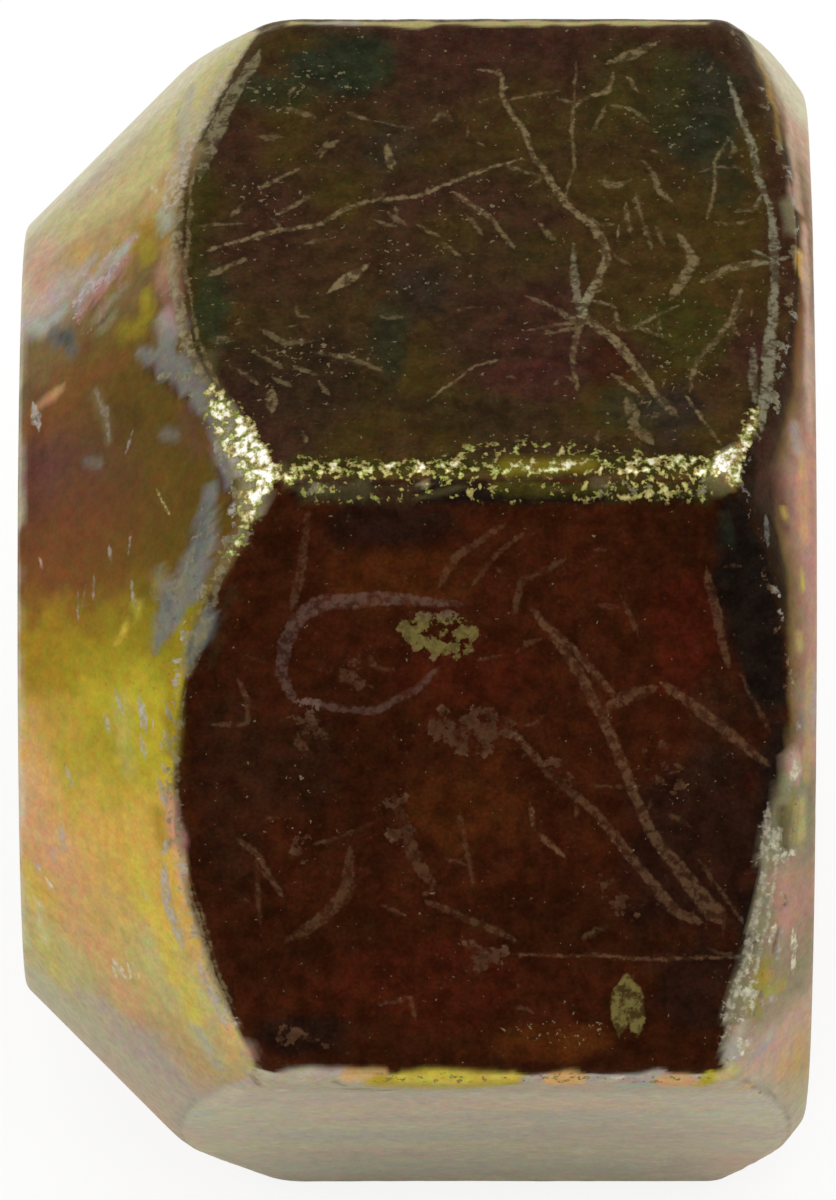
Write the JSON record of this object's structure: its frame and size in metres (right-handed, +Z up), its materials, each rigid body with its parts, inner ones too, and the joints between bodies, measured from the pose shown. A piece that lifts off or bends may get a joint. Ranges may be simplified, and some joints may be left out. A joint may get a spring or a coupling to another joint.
{
  "type": "lug nut",
  "caption": "Open-ended hexagon wheel lug nut with a conical seat at the nose and chamfered corners at the wrench face.",
  "frame": {"origin": "on the thread axis, half-way between the nose face and the wrench face", "axes": "-X along the thread axis out of the nose, +Z up and square to the hexagon's top flat, corners of the hexagon at +Y and -Y"},
  "size_m": [0.0196, 0.0308, 0.027],
  "materials": {
    "yellow_zinc_steel": "yellow zinc plate, dark and iridescent, scratched"
  },
  "bodies": {
    "root": {"lug_nut": "yellow_zinc_steel"}
  },
  "joints": []
}
